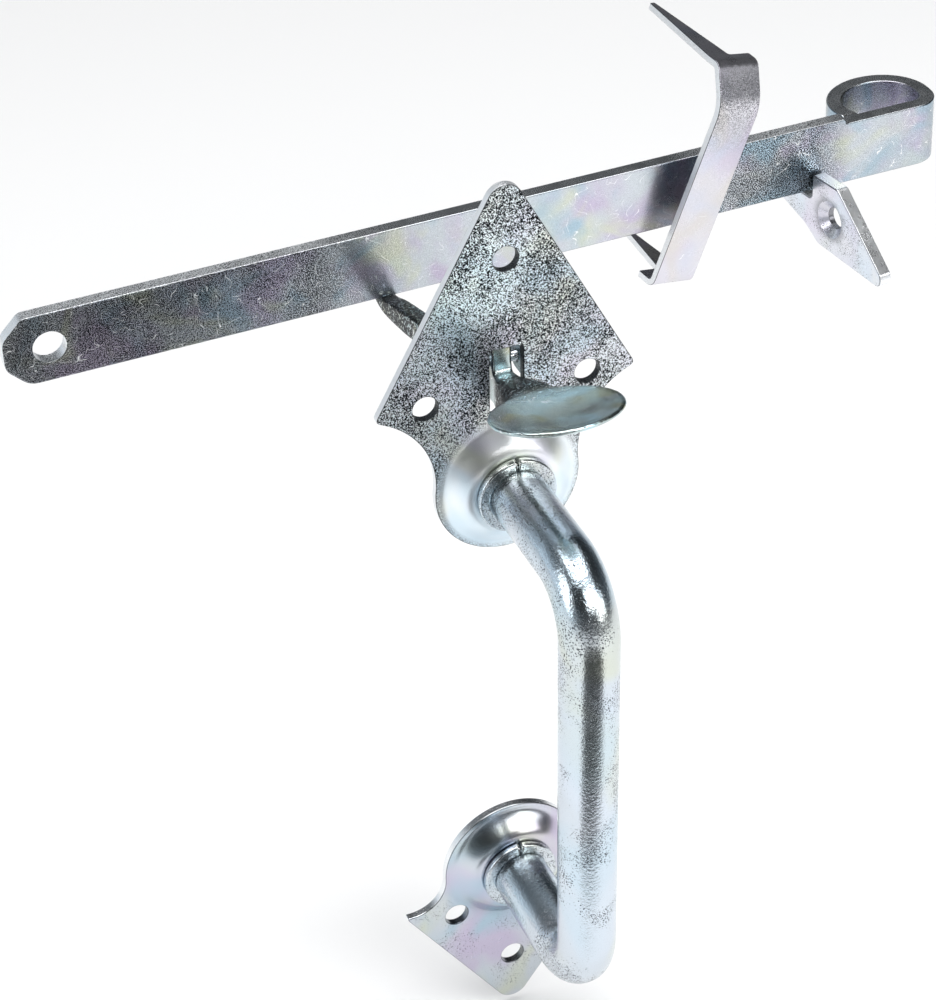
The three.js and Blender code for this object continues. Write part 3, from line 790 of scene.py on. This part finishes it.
def between(rows, spacing=0.5):
    """Rows of numbers with smooth rows between them."""
    rows = np.array(rows)
    out = []
    for i in range(len(rows) - 1):
        gap = rows[i + 1, 0] - rows[i, 0]
        last, after = rows[max(i - 1, 0)], rows[min(i + 2, len(rows) - 1)]
        slopes = [(rows[i + 1] - last) / max(rows[i + 1, 0] - last[0], 1e-6) * gap,
                  (after - rows[i]) / max(after[0] - rows[i, 0], 1e-6) * gap]
        steep = np.abs(rows[i + 1] - rows[i]) * 2.5 + 1e-9
        slopes = [np.clip(slope, -steep, steep) for slope in slopes]
        steps = max(2, math.ceil(gap / spacing))
        for step in range(steps):
            t = step / steps
            leaving = (t ** 3 - 2 * t ** 2 + t) * slopes[0]
            arriving = (t ** 3 - t ** 2) * slopes[1]
            out.append((2 * t ** 3 - 3 * t ** 2 + 1) * rows[i] + leaving
                       + (3 * t ** 2 - 2 * t ** 3) * rows[i + 1] + arriving)
    return out + [rows[-1]]


blade = join_rings("lever_blade", [blade_section(*row)[::-1] for row in between(LEVER_ROWS)])
# Each pair: share of the pad's half width, height
pad_profile = [(0.02, -3.3), (0.2, -3.25), (0.4, -3.05), (0.6, -2.6), (0.78, -1.9), (0.9, -1.15),
               (0.965, -0.6), (0.992, -0.25), (1.0, 0.1), (0.995, 0.42), (0.98, 0.62), (0.955, 0.7),
               (0.93, 0.66), (0.88, 0.42), (0.8, 0.05), (0.68, -0.38), (0.52, -0.8), (0.35, -1.1),
               (0.18, -1.3), (0.02, -1.35)]
tilt = Matrix.Rotation(PAD["tilt"], 3, "X")
rings = []
for share, height in pad_profile:
    rings.append([tilt @ Vector((PAD["half_length"] * share * math.cos(turn),
                                 PAD["half_depth"] * share * math.sin(turn), height))
                  + Vector((0, PAD["y"], PAD["z"])) for turn in around(72)])
lever = join_rings("thumb_pad", rings)

# The forging is one piece of steel: pad and blade are joined, then their corners are melted soft.
union = lever.modifiers.new("union", "BOOLEAN")
union.operation = "UNION"
union.object = blade
union.solver = "EXACT"
remesh = lever.modifiers.new("remesh", "REMESH")
remesh.mode = "VOXEL"
remesh.voxel_size = 0.45 * MM
melt = lever.modifiers.new("melt", "SMOOTH")
melt.factor, melt.iterations = 0.5, 8
bpy.context.view_layer.update()
graph = bpy.context.evaluated_depsgraph_get()
forged = bpy.data.meshes.new_from_object(lever.evaluated_get(graph))
forged.name = "thumb_lever_forging"
for thing in (blade, lever):
    bpy.data.objects.remove(thing)
forged.shade_smooth()
# The pad and the part in the slot are polished and stay lighter. The neck and the tail are
# painted darker with dense dark pits, as painted shade.
painted_shade_shank = [float(np.interp(point.co.y / MM, (-26, -18, -4, 0, 6, 16), (0, 1, 1, 0.1, 0.1, 1)))
         for point in forged.vertices]
for mark, values in (("rim", [0.0] * len(painted_shade_shank)), ("grain", painted_shade_shank)):
    if mark in forged.attributes:
        forged.attributes.remove(forged.attributes[mark])
    forged.attributes.new(mark, "FLOAT", "POINT").data.foreach_set("value", values)
lever = add_object("thumb_lever_forging", forged)
forged.materials.clear()
forged.materials.append(zinc(
    "forged_zinc_finish", ((0.50, 0.59, 0.59, 1), (0.30, 0.34, 0.34, 1), (0.42, 0.42, 0.27, 1),
                           (0.50, 0.68, 0.74, 1)),
    1.0, pit_color=(0.03, 0.033, 0.035, 1), grain_scale=1600, roughness=0.22, bump=0.12,
    scratches=0.8, cloud_scale=80, pit_depth=1.0))
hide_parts("thumb_lever")
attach(lever, "thumb_lever")


# ---- lever pin ----
# A short steel pin through both ears and the blade, with both ends peened over so that it stays
# in. The lever swings on it.

PIN_HEAD, HEAD_INNER, HEAD_OUTER = 2.6, 7.3, 8.5

half_profile = [(HEAD_OUTER, 0.05), (HEAD_OUTER - 0.03, 0.9), (HEAD_OUTER - 0.2, 1.7),
                (HEAD_OUTER - 0.5, 2.3), (HEAD_OUTER - 0.8, PIN_HEAD), (HEAD_INNER + 0.1, PIN_HEAD),
                (HEAD_INNER, PIN_HEAD - 0.1), (HEAD_INNER, PIN_RADIUS + 0.1),
                (HEAD_INNER - 0.1, PIN_RADIUS)]
profile = [(-x, r) for x, r in half_profile] + [(x, r) for x, r in half_profile[::-1]]
rings = [[Vector((x, PIVOT_Y + r * math.cos(a), PIVOT_Z + r * math.sin(a)))
          for a in around(40)] for x, r in profile]
pin = join_rings("lever_pin", rings)
pin.data.materials.append(zinc("pin_zinc_finish", (SILVER, SILVER, STRAW, SILVER), 0.1, bump=0.1))
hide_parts("lever_pivot_pin")
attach(pin, "fixed_set")


# ---- latch bar ----
# Drawn flat bar, about 21 by 4.5 mm, with clipped corners round its pivot hole. Its far end is cut
# a step lower and rolled back into an eye for a finger.

BAR = {"x": -98.6, "y": 83.5, "z": -32.7, "tilt": math.radians(-1.5), "thickness": 4.5,
       "half_height": 10.6, "end": 13.0, "clip": 6.2, "hole": 4.8}
EYE = {"x": 260.0, "y": 10.0, "half_width": 16.2, "half_depth": 14.5, "corner": 8.0, "step": 1.6,
       "slit": 0.3}


def curl_end(depth):
    """How far past the half turn the curl meets the bar's back, at a depth into the strip."""
    low, high = 0.0, 1.2
    for _ in range(40):
        turn = (low + high) / 2
        normal = Vector((math.cos(turn) / EYE["half_width"], math.sin(turn) / EYE["half_depth"]))
        y = EYE["y"] - EYE["half_depth"] * math.sin(turn) + normal.normalized().y * depth
        low, high = (turn, high) if y > BAR["thickness"] + EYE["slit"] else (low, turn)
    return low


CORNER_X = EYE["x"] + EYE["half_width"] - EYE["corner"]
CORNER_LENGTH = EYE["corner"] * math.pi / 2
SHORT_RUN = EYE["y"] - EYE["corner"]
CURL_MEAN = (EYE["half_width"] + EYE["half_depth"]) / 2
CURL_LENGTH = CURL_MEAN * (math.pi + curl_end(0))
BAR_LENGTH = CORNER_X + CORNER_LENGTH + SHORT_RUN + CURL_LENGTH
bar_turn = Matrix.Rotation(BAR["tilt"], 3, "Y")


def bend_bar(u, v, depth):
    """The bar's plan: straight, round the front corner, then curled back."""
    if u < CORNER_X:
        x, y, out = u, 0.0, Vector((0, -1))
    elif u < CORNER_X + CORNER_LENGTH:
        turn = (u - CORNER_X) / EYE["corner"]
        out = Vector((math.sin(turn), -math.cos(turn)))
        x, y = CORNER_X + EYE["corner"] * out.x, EYE["corner"] * (1 + out.y)
    elif u < CORNER_X + CORNER_LENGTH + SHORT_RUN:
        x, y = EYE["x"] + EYE["half_width"], EYE["corner"] + u - CORNER_X - CORNER_LENGTH
        out = Vector((1, 0))
    else:
        turn = (u - CORNER_X - CORNER_LENGTH - SHORT_RUN) / CURL_MEAN
        over = max(turn - math.pi, 0) / curl_ends[0]
        reach = curl_ends[0] + (curl_ends[1] - curl_ends[0]) * depth / BAR["thickness"]
        turn = min(turn, math.pi) + over * reach
        x = EYE["x"] + EYE["half_width"] * math.cos(turn)
        y = EYE["y"] + EYE["half_depth"] * math.sin(turn)
        out = Vector((math.cos(turn) / EYE["half_width"], math.sin(turn) / EYE["half_depth"]))
        out.normalize()
    spot = Vector((x - out.x * depth, y - out.y * depth, v))
    return bar_turn @ spot + Vector((BAR["x"], BAR["y"], BAR["z"]))


curl_ends = (curl_end(0), curl_end(BAR["thickness"]))
half, end = BAR["half_height"], BAR["end"]
step_x = EYE["x"] - EYE["half_width"] - CLEARANCE
clip = BAR["clip"]
bar_loop = rounded([
    (-end, clip - half, 4.5), (clip - end, -half, 6), (BAR_LENGTH, -half, 0.9),
    (BAR_LENGTH, half - EYE["step"], 0.9), (step_x, half - EYE["step"], 0.6), (step_x, half, 0.8),
    (clip - end, half, 3), (-end, half - clip, 4.5)], 1.4)


def bar_grain(u, v):
    """The bar is grainy towards its pivot and round the staple, and smoother between."""
    return float(np.interp(u, (75, 105, 185, 200, 232, 245), (1.0, 0.15, 0.1, 0.9, 1.0, 0.25)))


# Each corner's radius is at least as large as the rim's inset, or the rim would fold over there.
bar_rim = soft_rim(BAR["thickness"], 0.45, 0.45, 5)
pivot_hole = (circle(0, 0, BAR["hole"]), soft_rim(BAR["thickness"], 0.3))
bar = cut_blank("latch_bar_strip", [(bar_loop, bar_rim), pivot_hole], BAR["thickness"], bend_bar,
                2.5, grain=bar_grain)
bar.data.materials.append(zinc(
    "bar_zinc_finish", (SILVER, LILAC, STRAW, BLUE), 0.8, patches=0.2, grain_scale=3400,
    pit_color=DARK_PITS, roughness=0.24, bump=0.06, scratches=0.8, cloud_scale=55,
    pit_depth=1.0))
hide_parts("latch_bar")
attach(bar, "latch_bar")


# ---- bar staple ----
# A 15 by 2 mm steel strip bent to a bridge over the bar, bowed near its top. Each end is split into
# a long spike that is driven into the door and a short shoulder that stops it.

STAPLE = {"place": (95.4, 77.2, -20.4), "roll": 13.4, "lean": 5.5, "yaw": 11.2, "height": 73.0,
          "width": 15.0, "thickness": 2.0, "spikes": (38.0, 30.0), "shoulders": (5.0, 7.0),
          "tips": ((1.9, 3.7), (4.65, 5.65))}


def rounded_path(corners, spacing=0.6):
    """An open path through (y, z, radius) corners, as evenly spaced points."""
    path = [Vector(corners[0][:2])]
    for i in range(1, len(corners) - 1):
        here, radius = Vector(corners[i][:2]), corners[i][2]
        before = (Vector(corners[i - 1][:2]) - here).normalized()
        after = (Vector(corners[i + 1][:2]) - here).normalized()
        half_turn = before.angle(after) / 2
        reach = radius / math.tan(half_turn)
        centre = here + (before + after).normalized() * radius / math.sin(half_turn)
        start, finish = here + before * reach - centre, here + after * reach - centre
        turn = start.angle_signed(finish)
        path += [centre + Matrix.Rotation(-turn * step / 24, 2) @ start for step in range(25)]
    path.append(Vector(corners[-1][:2]))
    lengths = np.cumsum([0] + [(b - a).length for a, b in zip(path, path[1:])])
    marks = np.linspace(0, lengths[-1], round(lengths[-1] / spacing) + 1)
    points = np.array([point[:] for point in path])
    evened = np.stack([np.interp(marks, lengths, points[:, i]) for i in (0, 1)], 1)
    return lengths[-1], marks, evened


top = STAPLE["height"] / 2
upper_spike, lower_spike = STAPLE["spikes"]
STRIP_LENGTH, strip_marks, strip_points = rounded_path([
    (lower_spike, -top, 0), (-0.3, -top, 3), (-5.9, 25.5, 14), (0.4, top, 3),
    (upper_spike, top, 0)])
strip_slopes = np.gradient(strip_points, axis=0)
staple_turn = (Matrix.Rotation(math.radians(STAPLE["yaw"]), 3, "Z")
               @ Matrix.Rotation(math.radians(STAPLE["lean"]), 3, "X")
               @ Matrix.Rotation(math.radians(STAPLE["roll"]), 3, "Y"))


def bend_strip(u, v, depth):
    """The strip's side: a spike, up the bowed front, and back along the other spike."""
    y, z = (np.interp(u, strip_marks, strip_points[:, i]) for i in (0, 1))
    slope_y, slope_z = (np.interp(u, strip_marks, strip_slopes[:, i]) for i in (0, 1))
    size = math.hypot(slope_y, slope_z)
    spot = Vector((-v, y + depth * slope_z / size, z - depth * slope_y / size))
    return staple_turn @ spot + Vector(STAPLE["place"])


half_width = STAPLE["width"] / 2
low_neck = lower_spike - STAPLE["shoulders"][1]
high_neck = STRIP_LENGTH - upper_spike + STAPLE["shoulders"][0]
(upper_inner, upper_outer), (lower_inner, lower_outer) = STAPLE["tips"]
strip_loop = rounded([
    (0, -lower_outer, 0.38), (low_neck, -half_width, 3), (high_neck, -half_width, 0.5),
    (high_neck, 0, 0.8), (STRIP_LENGTH, upper_inner, 0.5), (STRIP_LENGTH, upper_outer, 0.5),
    (high_neck, half_width, 3), (low_neck, half_width, 0.5), (low_neck, 0, 0.8),
    (0, -lower_inner, 0.38)], 1.0)
strip_rim = soft_rim(STAPLE["thickness"], 0.3, 0.25, 5)


def strip_grain(u, v):
    """The strip is smooth, and rougher where its top is bent."""
    return float(np.interp(u, (30, 75, 92, 98, 103), (0.02, 0.1, 0.85, 0.85, 0.3)))


staple = cut_blank("staple_strip", [(strip_loop, strip_rim)], STAPLE["thickness"], bend_strip, 1.6,
                   grain=strip_grain)
staple.data.materials.append(zinc(
    "strip_zinc_finish", ((0.70, 0.69, 0.74, 1), (0.66, 0.61, 0.71, 1), (0.68, 0.65, 0.64, 1),
                          (0.62, 0.65, 0.76, 1)),
    0.6, grain_scale=3200, roughness=0.28, bump=0.06, scratches=0.5, painted_rim_shade=0.95))
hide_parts("bar_staple")
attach(staple, "fixed_set")


# ---- catch ----
# Sheared from 4 mm plate: a ramp that the bar slides up, a nose, a notch that the bar drops into,
# and a tang at the back. One countersunk screw hole fixes it to the frame.

CATCH = {"x": 133.5, "z": -50.0, "yaw": math.radians(8), "thickness": 4.0}
forward = Vector((math.sin(CATCH["yaw"]), -math.cos(CATCH["yaw"]), 0))
aside = Vector((math.cos(CATCH["yaw"]), math.sin(CATCH["yaw"]), 0))


def place_catch(u, v, depth):
    """The catch stands on edge: u runs forward, v up, and depth across it."""
    return Vector((CATCH["x"], BAR["y"], CATCH["z"] + v)) + forward * u + aside * depth


catch_loop = rounded([
    (-24, 9.5, 1), (-12.5, 4.3, 10), (-1.5, 1.4, 12), (5.2, -2.4, 5), (36.6, -2.6, 2.2),
    (35.6, 1.6, 1.6), (13.2, 19.3, 2.2), (1.3, 18.9, 0.8), (1.3, 10.6, 1.8), (-7, 10.6, 1.5),
    (-8.4, 18, 0.8), (-12, 18, 1), (-24, 12, 1)], 1.2)
# The countersunk hole's rim. Each row: inset, depth, turn, rim mark. The rim marks paint the
# bore's wall dark with the painted shade line and give it no painted rim highlight.
sunk = [(2.7, 0, 0, 0.2), (2.5, 0.08, 0.66, 0.1), (0.12, 2.0, 0.66, 0.1), (0, 2.2, 1.57, 0.45),
        (0, 3.65, 1.57, 0.45), (0.1, 3.9, 2.36), (0.35, 4.0, 3.1415)]
catch_hole = (circle(10.5, 8.1, 3.2), sunk)
catch = cut_blank("catch_hook", [(catch_loop, soft_rim(CATCH["thickness"], 0.4)), catch_hole],
                  CATCH["thickness"], place_catch, 3.0)
catch.data.materials.append(zinc(
    "catch_zinc_finish", ((0.76, 0.78, 0.82, 1), (0.74, 0.71, 0.82, 1), (0.78, 0.80, 0.77, 1),
                          (0.70, 0.77, 0.85, 1)),
    0.25, patches=0.7, grain_scale=3200, roughness=0.28, bump=0.06, scratches=0.2))
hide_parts("catch_plate")
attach(catch, "fixed_set")
